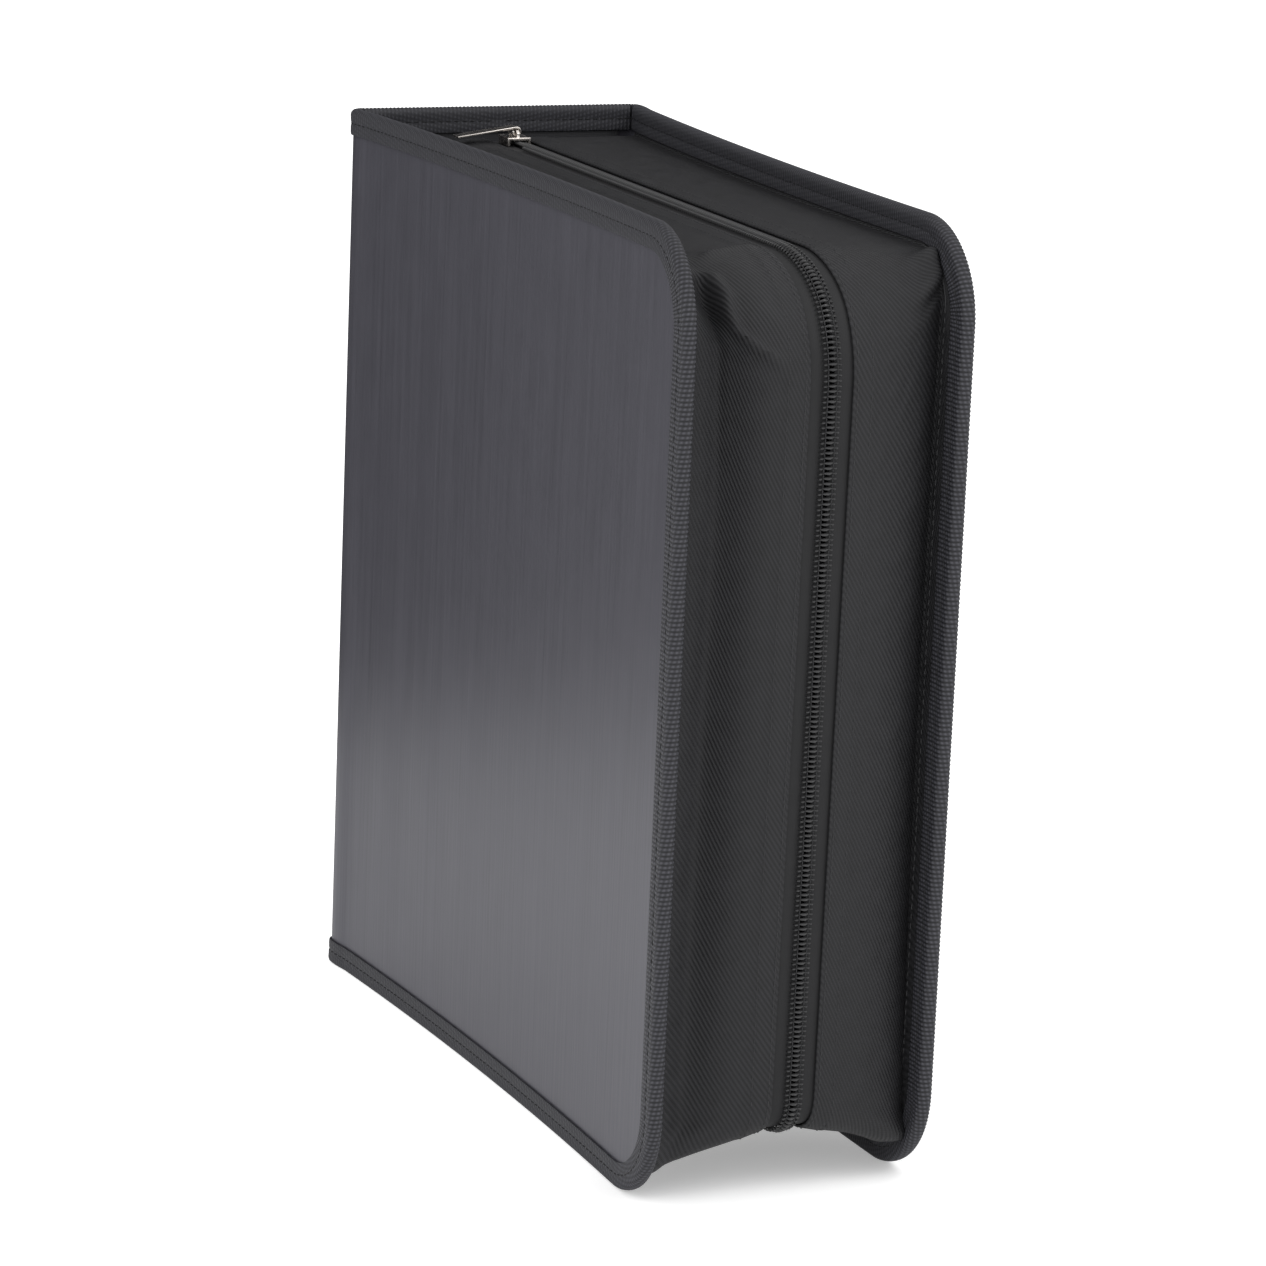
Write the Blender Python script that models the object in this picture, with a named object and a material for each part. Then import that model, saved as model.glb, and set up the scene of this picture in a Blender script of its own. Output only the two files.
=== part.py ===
"""Zip-round storage case for discs, standing on its lower edges like a book on a shelf.

The spine is at -X. The zip runs round the top, the fore-edge at +X and the foot.
The front cover faces -Y and the back cover +Y. Lengths are in metres, +Z is up, and the
origin is the centre of the footprint.
"""
import math

import bmesh
import bpy
from mathutils import Vector

# Overall size. The covers close slightly towards the fore-edge and bend in at their middle,
# as a soft case does.
HEIGHT = 0.310
WIDTH = 0.281
SPINE_DEPTH = 0.1105
FORE_DEPTH = 0.0985
COVER_BOW = 0.0043
CORNER_RADIUS = 0.031
FOLD_INNER_RADIUS = 0.0005

# Sheets that make up a cover, from the outside in.
SEAT = 0.00025
RIBBON = 0.0006
SHEET = 0.0015
LINING = 0.0011
BINDING_WIDTH = 0.0085

# Hinge lines of the covers and the clearances beside them.
HINGE_INSET = 0.0008
HINGE_GAP = 0.0005
LINING_START = 0.0095
SPINE_LINING_MARGIN = 0.0090

# Zip line: how far its tape lies inside the covers' edges, and its turns.
ZIP_TOP_DROP = 0.0115
ZIP_FORE_INSET = 0.0035
ZIP_FOOT_RISE = 0.0210
ZIP_TOP_RADIUS = 0.036
ZIP_FOOT_RADIUS = 0.012
TAPE = 0.0006
TAPE_WIDTH = 0.0115
COIL_WIDTH = 0.0018
COIL_HEIGHT = 0.0017

# Gusset: one cloth strip on each cover, from the cover's lining to the zip tape.
GUSSET = 0.0009
GUSSET_START = 0.0095
GUSSET_TURN_TOP = 0.0150
GUSSET_TURN_FORE = 0.0150
GUSSET_TURN_FOOT = 0.0120
GUSSET_BEND = 0.0022
GUSSET_EDGE = 0.0072
GUSSET_EASE = 2.3
GUSSET_SHARES = (0.06, 0.14, 0.25, 0.40, 0.60, 0.80)
PUCKER_DEPTH = 0.0016

# Slider and its pull, at the spine end of the top run.
SLIDER_HOME = 0.0190
SLIDER_LENGTH = 0.0105
SLIDER_PLATE = 0.0010
SLIDER_CLEARANCE = 0.0003
POST_HALF_WIDTH = 0.0008
POST_LENGTH = 0.0026
FLANGE = 0.0009
FLANGE_CLEARANCE = 0.0005
BAIL_THICKNESS = 0.0010
BAIL_LEG = 0.0011
PULL_LENGTH = 0.0220
PULL_WIDTH = 0.0054
PULL_THICKNESS = 0.0007
PULL_ROLL_DEG = 285.0
PULL_SIDE_CLEARANCE = 0.0004
PULL_DROOP_DEG = 8.0
FRONT_COIL_RELIEF = 0.0085

# Disc sleeves, all bound at the spine.
PAGE_CLEARANCE = 0.0025
PAGE_STRIP = 0.0020
PAGE_CORNER = 0.006

RUN_STEPS = 6
ARC_STEPS = 8
FOLD_STEPS = 4
SHARP_DEG = 35.0

SPINE_X = -WIDTH / 2
PANEL_DEPTH = RIBBON + SEAT
LINING_DEPTH = PANEL_DEPTH + SHEET + SEAT
INNER_RIBBON_DEPTH = LINING_DEPTH + LINING + SEAT
COVER_DEPTH = INNER_RIBBON_DEPTH + RIBBON
FOLD_RADIUS = COVER_DEPTH + FOLD_INNER_RADIUS
COVER_START = SPINE_X + FOLD_RADIUS + HINGE_GAP
SHEET_INSET = RIBBON + SEAT
COIL_EDGE = POST_HALF_WIDTH + SLIDER_CLEARANCE
TAPE_TOP = TAPE / 2
COIL_BASE = TAPE_TOP + SEAT
COIL_TOP = COIL_BASE + COIL_HEIGHT
SLIDER_X = SPINE_X + SLIDER_HOME
ZIP_Z = HEIGHT - ZIP_TOP_DROP


def clear_scene():
    """Remove whatever the open file holds."""
    for item in list(bpy.data.objects):
        bpy.data.objects.remove(item, do_unlink=True)


def make_material(name, colour, roughness, metallic=0.0):
    """Plain surface with one colour."""
    material = bpy.data.materials.new(name)
    material.use_nodes = True
    shader = material.node_tree.nodes["Principled BSDF"]
    shader.inputs["Base Color"].default_value = (*colour, 1.0)
    shader.inputs["Roughness"].default_value = roughness
    shader.inputs["Metallic"].default_value = metallic
    material.diffuse_color = (*colour, 1.0)
    return material


def make_object(name, vertices, faces, material, holder=None, origin=(0.0, 0.0, 0.0)):
    """Closed mesh given in the case's own coordinates, with its origin where asked."""
    mesh = bpy.data.meshes.new(name)
    shift = Vector(origin)
    mesh.from_pydata([Vector(point) - shift for point in vertices], [], faces)
    shape = bmesh.new()
    shape.from_mesh(mesh)
    bmesh.ops.recalc_face_normals(shape, faces=shape.faces)
    shape.to_mesh(mesh)
    shape.free()
    mesh.materials.append(material)
    mesh.shade_smooth()
    mesh.set_sharp_from_angle(angle=math.radians(SHARP_DEG))
    item = bpy.data.objects.new(name, mesh)
    bpy.context.scene.collection.objects.link(item)
    item.location = shift
    if holder is not None:
        item.parent = holder
        item.location = shift - holder.location
    return item


def make_pivot(name, place, holder_place=(0.0, 0.0, 0.0), holder=None):
    """Empty on a joint's axis, which carries what turns or slides with it."""
    pivot = bpy.data.objects.new(name, None)
    pivot.location = Vector(place) - Vector(holder_place)
    pivot.parent = holder
    pivot.empty_display_size = 0.02
    bpy.context.scene.collection.objects.link(pivot)
    return pivot


def arc(centre_x, centre_z, radius, start_deg, end_deg, steps):
    """Points along an arc, both ends included."""
    points = []
    for step in range(steps + 1):
        angle = math.radians(start_deg + (end_deg - start_deg) * step / steps)
        points.append((centre_x + radius * math.cos(angle), centre_z + radius * math.sin(angle)))
    return points


def rail(top, fore, foot, top_radius, foot_radius, start):
    """Line round the case from the spine end of the top run to that of the foot run."""
    end_x = WIDTH / 2 - fore
    top_z = HEIGHT - top
    top_turn = end_x - top_radius
    foot_turn = end_x - foot_radius
    points = []
    for step in range(RUN_STEPS):
        points.append((start + (top_turn - start) * step / RUN_STEPS, top_z))
    points += arc(top_turn, top_z - top_radius, top_radius, 90, 0, ARC_STEPS)
    points += arc(foot_turn, foot + foot_radius, foot_radius, 0, -90, ARC_STEPS)
    for step in range(1, RUN_STEPS + 1):
        points.append((foot_turn + (start - foot_turn) * step / RUN_STEPS, foot))
    return points


def edge_rail(inset, start):
    """Line at one distance inside a cover's outline."""
    radius = CORNER_RADIUS - inset
    return rail(inset, inset, inset, radius, radius, start)


def zip_rail(lift, start):
    """Line on the zip's path, raised outwards from the middle of its tape."""
    return rail(ZIP_TOP_DROP - lift, ZIP_FORE_INSET - lift, ZIP_FOOT_RISE - lift,
                ZIP_TOP_RADIUS + lift, ZIP_FOOT_RADIUS + lift, start)


def half_depth(x):
    """Distance from the middle plane to a cover's outer face."""
    share = (x - SPINE_X) / WIDTH
    straight = SPINE_DEPTH + (FORE_DEPTH - SPINE_DEPTH) * share
    return straight / 2 - 4 * COVER_BOW * share * (1 - share)


def place_row(line, side, cover_share, offset):
    """Stand a line of (x, z) points off the middle plane, on the front or the back."""
    return [(x, side * (cover_share * half_depth(x) + offset), z) for x, z in line]


def skin(rows):
    """Vertices and faces of a solid whose closed section runs through the rows' points."""
    count = len(rows[0])
    vertices = [point for row in rows for point in row]
    faces = []
    for index in range(len(rows)):
        following = (index + 1) % len(rows)
        for step in range(count - 1):
            faces.append((index * count + step, index * count + step + 1,
                          following * count + step + 1, following * count + step))
    faces.append(tuple(index * count for index in range(len(rows))))
    faces.append(tuple(index * count + count - 1 for index in range(len(rows))))
    return vertices, faces


def slab(lower, upper):
    """Vertices and faces of a plate between two outlines with the same number of points."""
    count = len(lower)
    faces = [tuple(range(count)), tuple(range(count, 2 * count))]
    for index in range(count):
        following = (index + 1) % count
        faces.append((index, following, count + following, count + index))
    return list(lower) + list(upper), faces


def bent_slab(lower, upper):
    """Vertices and faces of a plate bent along X, whose outline goes out and back alike."""
    count = len(lower)
    faces = []
    for first in (0, count):
        for step in range(count // 2 - 1):
            back = count - 1 - step
            faces.append((first + step, first + step + 1, first + back - 1, first + back))
    for index in range(count):
        following = (index + 1) % count
        faces.append((index, following, count + following, count + index))
    return list(lower) + list(upper), faces


def box(low, high):
    """Vertices and faces of a block between two corners."""
    lower = [(low[0], low[1], low[2]), (high[0], low[1], low[2]),
             (high[0], high[1], low[2]), (low[0], high[1], low[2])]
    return slab(lower, [(x, y, high[2]) for x, y, _ in lower])


def cover_plate(name, side, inset, start, outer, inner, material, holder):
    """Sheet of a cover, between two depths under the cover's outer face."""
    line = edge_rail(inset, start)
    make_object(name, *bent_slab(place_row(line, side, 1, -outer),
                                 place_row(line, side, 1, -inner)), material, holder)


def binding_section():
    """Closed section of the folded ribbon, as (depth under the outer face, inset) pairs."""
    return ((0, 0), (0, BINDING_WIDTH), (RIBBON, BINDING_WIDTH), (RIBBON, RIBBON),
            (INNER_RIBBON_DEPTH, RIBBON), (INNER_RIBBON_DEPTH, BINDING_WIDTH),
            (COVER_DEPTH, BINDING_WIDTH), (COVER_DEPTH, 0))


def edge_binding(name, side, material, holder):
    """Ribbon folded over the three free edges of a cover."""
    rows = [place_row(edge_rail(inset, COVER_START), side, 1, -depth)
            for depth, inset in binding_section()]
    make_object(name, *skin(rows), material, holder)


def spine_plan(depth):
    """Plan line of the spine with its two folds, at a depth under the outer face."""
    centre_x = SPINE_X + FOLD_RADIUS
    centre_y = SPINE_DEPTH / 2 - FOLD_RADIUS
    radius = FOLD_RADIUS - depth
    return (arc(centre_x, -centre_y, radius, 270, 180, FOLD_STEPS)
            + arc(centre_x, centre_y, radius, 180, 90, FOLD_STEPS))


def spine_panel(material):
    """Spine wall, bent round both folds."""
    plan = spine_plan(PANEL_DEPTH) + spine_plan(PANEL_DEPTH + SHEET)[::-1]
    make_object("spine_panel", *slab([(x, y, SHEET_INSET) for x, y in plan],
                                     [(x, y, HEIGHT - SHEET_INSET) for x, y in plan]), material)


def spine_lining(material):
    """Cloth-covered board inside the spine, between the folds."""
    reach = SPINE_DEPTH / 2 - SPINE_LINING_MARGIN
    make_object("spine_lining",
                *box((SPINE_X + LINING_DEPTH, -reach, SHEET_INSET),
                     (SPINE_X + LINING_DEPTH + LINING, reach, HEIGHT - SHEET_INSET)), material)


def spine_binding(name, at_top, material):
    """Ribbon folded over the top or the foot of the spine."""
    rows = []
    for depth, inset in binding_section():
        z = HEIGHT - inset if at_top else inset
        rows.append([(x, y, z) for x, y in spine_plan(depth)])
    make_object(name, *skin(rows), material)


def zip_strip(name, side, near, far, low, high, start, material, holder):
    """Bar along the zip between two distances from the middle plane and two lifts."""
    rows = [place_row(zip_rail(lift, start), side, 0, reach)
            for reach, lift in ((near, low), (near, high), (far, high), (far, low))]
    make_object(name, *skin(rows), material, holder)


def gusset_rail(share, shift):
    """Line of the gusset, from its turn off the cover (share 0) to the zip (share 1)."""
    ease = (1 - share) ** GUSSET_EASE
    edge_lift = TAPE_TOP + SEAT + GUSSET / 2

    def blend(at_turn, at_zip):
        return at_zip + (at_turn - at_zip) * ease

    return rail(blend(GUSSET_TURN_TOP, ZIP_TOP_DROP - edge_lift) - shift,
                blend(GUSSET_TURN_FORE, ZIP_FORE_INSET - edge_lift) - shift,
                blend(GUSSET_TURN_FOOT, ZIP_FOOT_RISE - edge_lift) - shift,
                blend(CORNER_RADIUS - GUSSET_TURN_TOP, ZIP_TOP_RADIUS + edge_lift) + shift,
                blend(CORNER_RADIUS - GUSSET_TURN_FOOT, ZIP_FOOT_RADIUS + edge_lift) + shift,
                SPINE_X + GUSSET_START)


def pucker(line, side, share, row):
    """Gather the cloth into a few folds where the top run turns down the fore-edge."""
    first = RUN_STEPS
    centre = Vector((line[first][0], 0.0, line[first + ARC_STEPS][1]))
    strength = PUCKER_DEPTH * math.sin(math.pi * min(share * 1.25, 1.0))
    gathered = list(row)
    for step in range(1, ARC_STEPS):
        x, y, z = row[first + step]
        away = (Vector((x, 0.0, z)) - centre).normalized()
        fold = strength * (1 if (step + (side > 0)) % 2 else -1)
        gathered[first + step] = (x + away.x * fold, y, z + away.z * fold)
    return gathered


def gusset(name, side, material, holder):
    """Cloth strip: a leg down the lining, a soft valley, then out to the zip."""
    leg_depth = LINING_DEPTH + LINING + SEAT + GUSSET / 2
    leg_start = BINDING_WIDTH + SEAT
    half = GUSSET / 2
    outer_rows = []
    inner_rows = []
    leg_radius = CORNER_RADIUS - leg_start
    leg_line = rail(leg_start, leg_start, leg_start, leg_radius, leg_radius,
                    SPINE_X + GUSSET_START)
    outer_rows.append(place_row(leg_line, side, 1, -leg_depth - half))
    inner_rows.append(place_row(leg_line, side, 1, -leg_depth + half))
    turn_line = gusset_rail(0, GUSSET_BEND)
    outer_rows.append(place_row(turn_line, side, 1, -leg_depth - half))
    turn_line = gusset_rail(0, 0)
    inner_rows.append(place_row(turn_line, side, 1, -leg_depth + half))
    for share in (*GUSSET_SHARES, 1.0):
        offset = (1 - share) * -leg_depth + share * GUSSET_EDGE
        outer = gusset_rail(share, half)
        inner = gusset_rail(share, -half)
        outer_row = place_row(outer, side, 1 - share, offset)
        inner_row = place_row(inner, side, 1 - share, offset)
        if share < 1:
            outer_row = pucker(outer, side, share, outer_row)
            inner_row = pucker(inner, side, share, inner_row)
        outer_rows.append(outer_row)
        inner_rows.append(inner_row)
    make_object(name, *skin(outer_rows + inner_rows[::-1]), material, holder)


def add_union(base, name, vertices, faces):
    """Join another block to a piece."""
    extra = make_object(name, vertices, faces, base.data.materials[0])
    extra.hide_render = True
    extra.display_type = "WIRE"
    extra.parent = base
    extra.location = -base.location
    if base.parent is not None:
        extra.location -= base.parent.location
    joint = base.modifiers.new(name, "BOOLEAN")
    joint.operation = "UNION"
    joint.object = extra


def zip_slider(material, carriage):
    """Slider: two plates joined at the nose, flanges beside the coil, and a bail on top."""
    half_length = SLIDER_LENGTH / 2
    flange_inner = COIL_EDGE + COIL_WIDTH + FLANGE_CLEARANCE
    half_width = flange_inner + FLANGE
    tape_gap = TAPE_TOP + SLIDER_CLEARANCE
    roof = COIL_TOP + SLIDER_CLEARANCE
    crown = roof + SLIDER_PLATE
    nose = SLIDER_X - half_length
    tail = SLIDER_X + half_length
    chamfer = FLANGE

    def plate(low, high):
        outline = [(nose + chamfer, -half_width), (tail, -half_width), (tail, half_width),
                   (nose + chamfer, half_width), (nose, half_width - 2 * chamfer),
                   (nose, -half_width + 2 * chamfer)]
        return slab([(x, y, ZIP_Z + low) for x, y in outline],
                    [(x, y, ZIP_Z + high) for x, y in outline])

    slider = make_object("zip_slider", *plate(roof, crown), material, carriage,
                         origin=carriage.location)
    for side, label in ((-1, "front"), (1, "back")):
        inner_y = side * flange_inner
        outer_y = side * half_width
        add_union(slider, f"slider_{label}_flange",
                  *box((nose + 2 * chamfer, min(inner_y, outer_y), ZIP_Z + tape_gap),
                       (tail, max(inner_y, outer_y), ZIP_Z + roof + SLIDER_PLATE / 2)))
    add_union(slider, "slider_lower_plate", *plate(-tape_gap - SLIDER_PLATE, -tape_gap))
    add_union(slider, "slider_post",
              *box((nose, -POST_HALF_WIDTH, ZIP_Z - tape_gap - SLIDER_PLATE / 2),
                   (nose + POST_LENGTH, POST_HALF_WIDTH, ZIP_Z + roof + SLIDER_PLATE / 2)))
    opening = PULL_WIDTH / 2 + PULL_SIDE_CLEARANCE
    reach = opening + BAIL_LEG
    underside = pull_axis_height() - BAIL_THICKNESS / 2
    root = crown - SLIDER_PLATE / 2
    outline = [(-reach, root), (-reach, underside), (-opening, underside + BAIL_THICKNESS),
               (opening, underside + BAIL_THICKNESS), (reach, underside), (reach, root),
               (opening, root), (opening, underside), (-opening, underside), (-opening, root)]
    add_union(slider, "slider_bail",
              *slab([(SLIDER_X + x, -BAIL_THICKNESS / 2, ZIP_Z + z) for x, z in outline],
                    [(SLIDER_X + x, BAIL_THICKNESS / 2, ZIP_Z + z) for x, z in outline]))


def pull_eye_radius():
    """Inner radius of the pull's eye, which turns freely round the bail's bar."""
    return BAIL_THICKNESS * math.sqrt(0.5) + SEAT


def pull_axis_height():
    """Height of the bail's bar over the middle of the tape."""
    swing = pull_eye_radius() + PULL_THICKNESS
    return COIL_TOP + SLIDER_CLEARANCE + SLIDER_PLATE + swing + SEAT


def zip_pull(material, pivot):
    """Strip of metal lying towards the front cover, its end rolled round the bail's bar."""
    inner = pull_eye_radius()
    outer = inner + PULL_THICKNESS
    profile = [(-PULL_LENGTH, outer)]
    profile += arc(0.0, 0.0, outer, 90, 90 - PULL_ROLL_DEG, 2 * ARC_STEPS)
    profile += arc(0.0, 0.0, inner, 90 - PULL_ROLL_DEG, 90, 2 * ARC_STEPS)
    profile.append((-PULL_LENGTH, inner))
    half = PULL_WIDTH / 2
    pull = make_object("zip_pull", *slab([(-half, y, z) for y, z in profile],
                                         [(half, y, z) for y, z in profile]), material)
    pull.parent = pivot
    pivot.rotation_euler.x = math.radians(PULL_DROOP_DEG)


def sleeve_pages(material, strip_material):
    """Block of disc sleeves that follows the covers, bound to a strip on the spine."""
    strip_x = SPINE_X + LINING_DEPTH + LINING + SEAT
    page_x = strip_x + PAGE_STRIP + SEAT
    clear = GUSSET + PAGE_CLEARANCE
    foot_z = max(ZIP_FOOT_RISE + TAPE_TOP + PAGE_CLEARANCE, GUSSET_TURN_FOOT + clear)
    top_z = HEIGHT - GUSSET_TURN_TOP - clear
    outline = rail(HEIGHT - top_z, GUSSET_TURN_FORE + clear, foot_z, PAGE_CORNER, PAGE_CORNER,
                   page_x)
    depth = COVER_DEPTH + PAGE_CLEARANCE
    make_object("sleeve_pages", *bent_slab(place_row(outline, -1, 1, -depth),
                                           place_row(outline, 1, 1, -depth)), material)
    reach = half_depth(page_x) - depth
    make_object("page_strip", *box((strip_x, -reach, foot_z), (strip_x + PAGE_STRIP, reach, top_z)),
                strip_material)


def cover_half(label, side, pivot, materials, coil_start):
    """Everything that opens with one cover."""
    cover_plate(f"{label}_cover_panel", side, SHEET_INSET, COVER_START, PANEL_DEPTH,
                PANEL_DEPTH + SHEET, materials["shell"], pivot)
    cover_plate(f"{label}_cover_lining", side, SHEET_INSET, SPINE_X + LINING_START, LINING_DEPTH,
                LINING_DEPTH + LINING, materials["lining"], pivot)
    edge_binding(f"{label}_edge_binding", side, materials["ribbon"], pivot)
    gusset(f"{label}_gusset", side, materials["cloth"], pivot)
    zip_strip(f"{label}_zip_tape", side, COIL_EDGE, COIL_EDGE + TAPE_WIDTH, -TAPE / 2, TAPE / 2,
              SPINE_X + GUSSET_START, materials["tape"], pivot)
    zip_strip(f"{label}_zip_coil", side, COIL_EDGE, COIL_EDGE + COIL_WIDTH, COIL_BASE, COIL_TOP,
              coil_start, materials["coil"], pivot)


def main():
    """Build the whole case."""
    clear_scene()
    materials = {
        "shell": make_material("grey_polypropylene", (0.13, 0.13, 0.15), 0.38),
        "lining": make_material("lining_cloth", (0.03, 0.03, 0.033), 0.90),
        "ribbon": make_material("ribbed_ribbon", (0.045, 0.045, 0.05), 0.75),
        "cloth": make_material("twill_nylon", (0.028, 0.028, 0.032), 0.70),
        "tape": make_material("zip_tape", (0.025, 0.025, 0.028), 0.80),
        "coil": make_material("nylon_coil", (0.03, 0.03, 0.033), 0.45),
        "sleeve": make_material("disc_sleeves", (0.10, 0.10, 0.11), 0.60),
        "metal": make_material("nickel_plate", (0.75, 0.71, 0.68), 0.25, 1.0),
    }
    hinge_x = SPINE_X + HINGE_INSET
    hinge_y = SPINE_DEPTH / 2 - HINGE_INSET
    front = make_pivot("front_cover_hinge", (hinge_x, -hinge_y, 0.0))
    back = make_pivot("back_cover_hinge", (hinge_x, hinge_y, 0.0))
    carriage = make_pivot("slider_carriage", (SLIDER_X, 0.0, ZIP_Z))
    pull_pivot = make_pivot("pull_hinge", (SLIDER_X, 0.0, ZIP_Z + pull_axis_height()),
                            carriage.location, carriage)

    spine_panel(materials["shell"])
    spine_lining(materials["lining"])
    spine_binding("spine_top_binding", True, materials["ribbon"])
    spine_binding("spine_foot_binding", False, materials["ribbon"])
    sleeve_pages(materials["sleeve"], materials["lining"])
    front_coil_start = SLIDER_X + SLIDER_LENGTH / 2 + FRONT_COIL_RELIEF
    cover_half("front", -1, front, materials, front_coil_start)
    cover_half("back", 1, back, materials, SPINE_X + GUSSET_START)
    zip_slider(materials["metal"], carriage)
    zip_pull(materials["metal"], pull_pivot)


main()
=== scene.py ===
"""Looks of a zip-round storage case for discs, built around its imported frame.

Lengths are in metres. The spine is at -X, the fore-edge at +X, the front cover faces -Y.
Each cover is drawn unfolded first: u runs from the middle of the spine round the fold to the
fore-edge, and depth is measured inwards from the cover's outer face.
"""
import math

import bmesh
import bpy
import numpy as np
from mathutils import Matrix, Vector


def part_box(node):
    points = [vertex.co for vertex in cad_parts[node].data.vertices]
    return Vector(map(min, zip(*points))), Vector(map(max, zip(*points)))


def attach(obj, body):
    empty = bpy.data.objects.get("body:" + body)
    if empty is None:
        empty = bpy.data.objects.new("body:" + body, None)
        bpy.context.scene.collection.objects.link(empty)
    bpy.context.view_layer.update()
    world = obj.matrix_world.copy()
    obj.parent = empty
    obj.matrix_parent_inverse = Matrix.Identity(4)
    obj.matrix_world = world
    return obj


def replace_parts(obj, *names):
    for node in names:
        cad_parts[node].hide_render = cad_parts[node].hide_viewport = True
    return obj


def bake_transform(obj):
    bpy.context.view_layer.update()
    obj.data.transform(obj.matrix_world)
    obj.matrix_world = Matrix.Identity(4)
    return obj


# Sizes shared with the solids.
HEIGHT = 0.310
WIDTH = 0.281
SPINE_DEPTH = 0.1105
FORE_DEPTH = 0.0985
COVER_BOW = 0.0043
CORNER_RADIUS = 0.031
FOLD_INNER_RADIUS = 0.0005
SEAT = 0.00025
RIBBON = 0.0006
SHEET = 0.0015
LINING = 0.0011
BINDING_WIDTH = 0.0085
LINING_START = 0.0095
ZIP_TOP_DROP = 0.0115
ZIP_FORE_INSET = 0.0035
ZIP_FOOT_RISE = 0.0210
ZIP_TOP_RADIUS = 0.036
ZIP_FOOT_RADIUS = 0.012
TAPE = 0.0006
TAPE_WIDTH = 0.0115
GUSSET_START = 0.0095
GUSSET_EDGE = 0.0077
SLIDER_HOME = 0.0190
SLIDER_LENGTH = 0.0105
PAGE_CLEARANCE = 0.0025
SPINE_X = -WIDTH / 2
PANEL_DEPTH = RIBBON + SEAT
LINING_DEPTH = PANEL_DEPTH + SHEET + SEAT
INNER_RIBBON_DEPTH = LINING_DEPTH + LINING + SEAT
COVER_DEPTH = INNER_RIBBON_DEPTH + RIBBON
FOLD_RADIUS = COVER_DEPTH + FOLD_INNER_RADIUS
SHEET_INSET = RIBBON + SEAT
TAPE_EDGE = 0.0011
SLIDER_X = SPINE_X + SLIDER_HOME
ZIP_Z = HEIGHT - ZIP_TOP_DROP

# A cover unfolded.
FOLD_FROM = SPINE_DEPTH / 2 - FOLD_RADIUS
FOLD_TO = FOLD_FROM + FOLD_RADIUS * math.pi / 2
SHEET_END = FOLD_TO + WIDTH - FOLD_RADIUS

# Dressing of the gusset: its turns off the covers, and how it eases out to the zip.
TURN_TOP = {-1: 0.0125, 1: 0.0105}
TURN_TOP_RADIUS = {-1: 0.017, 1: 0.012}
TURN_FORE = 0.0155
TURN_FOOT = 0.0112
TURN_FOOT_RADIUS = 0.010
EASE_TOP = 1.5
EASE_FORE = 2.0
EASE_FOOT = 1.0
BANK_RISE = 0.0045
VALLEY_DEPTH = 0.0050
SWAY_UPPER = 0.0020
SWAY_LOWER = 0.0009
FOOT_BULGE = 0.0062
TUCK_RISE = 0.0042
SLACK = 0.00030
GUSSET_X = SPINE_X + GUSSET_START
GUSSET_WIDTH = 0.038
GUSSET_COLUMNS = 560
LEG_ROWS = 6
FREE_ROWS = 38
CLOTH = 0.0005
HEM = 0.0010
HEM_WIDTH = 0.0080

# Shell, boards and ribbon.
CROWN = 0.00055
RIPPLE = 0.00010
RIPPLE_LENGTH = 0.034
BOARD_STEPS = 60
RIBBON_ROUND = 0.0017
RIB_PITCH = 0.00145
RIB_HEIGHT = 0.00026
KNOT_PITCH = 0.00149
KNOT_LEAN_DEG = 12.0
# Stretch along the ribbon, down the fore-edge, where the painted light and shade of its ribs is at full
# contrast.
RIBBON_RIB_SHADE_FROM = 0.34
RIBBON_RIB_SHADE_TO = 0.63
RIBBON_RIB_SHADE_EASE = 0.05
PLAIN_CONTRAST = 0.38
MIDDLE_TONE = 0.33

# Seams and zip.
BINDING_SEAM_INSET = 0.0046
SEAM_PITCH = 0.0030
SEAM_STITCH = 0.0021
THREAD_SINK = 0.00012
STITCH_SIDES = 4
TOOTH_SIDES = 6
COIL_GAP = 0.0085
TOOTH_PITCH = 0.0016

# Weaves.
TWILL_PITCH = 0.00125
TWILL_TURN_DEG = -60.0
CROSS_PITCH = 0.00055
CROSS_TURN_DEG = 70.0
LINING_PITCH = 0.0007

# Meshes.
UV_NAME = "flat"
SMOOTH_DEG = 50.0
METAL_SMOOTH_DEG = 40.0
METAL_EDGE_DEG = 35.0
METAL_FLAT_DEG = 1.0
WELD_DISTANCE = 0.000002

# The sleeves.
PAGE_COUNT = 64
PAGE_FILL = 0.36
PAGE_ROUND = 0.006
LEAF_TRIM = 0.0055
POCKET_MARGIN = 0.004

# Camera, fitted to the outlines of the case in the photograph.
VIEW_AZIMUTH = 66.264
VIEW_ELEVATION = 13.507
VIEW_ROLL = 2.359
VIEW_YAW = -0.009
VIEW_PITCH = -0.103
VIEW_DISTANCE = 1.6452
VIEW_LENS = 139.72

# Studio.
FLOOR_REACH = 6.0
FLOOR_COLOUR = (0.86, 0.86, 0.86, 1)
# Painted light on the floor: weaker glow near the gusset, stronger further out, which washes out the
# case's shadow there.
FLOOR_GLOW_NEAR = 0.32
FLOOR_GLOW_FAR = 0.55
SHADOW_CENTRE = (0.150, 0.010, 0.0)
SHADOW_FROM = 0.050
SHADOW_TO = 0.110
WORLD_STRENGTH = 0.95
LAMP_SIZE = 1.2
LAMP_AIM = (0, 0, 0.15)
CARD_DISTANCE = 0.47
CARD_EDGES = (0.001, 1.10, -0.90, 0.155)
CARD_COLOUR = (0.02, 0.02, 0.022)

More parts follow.
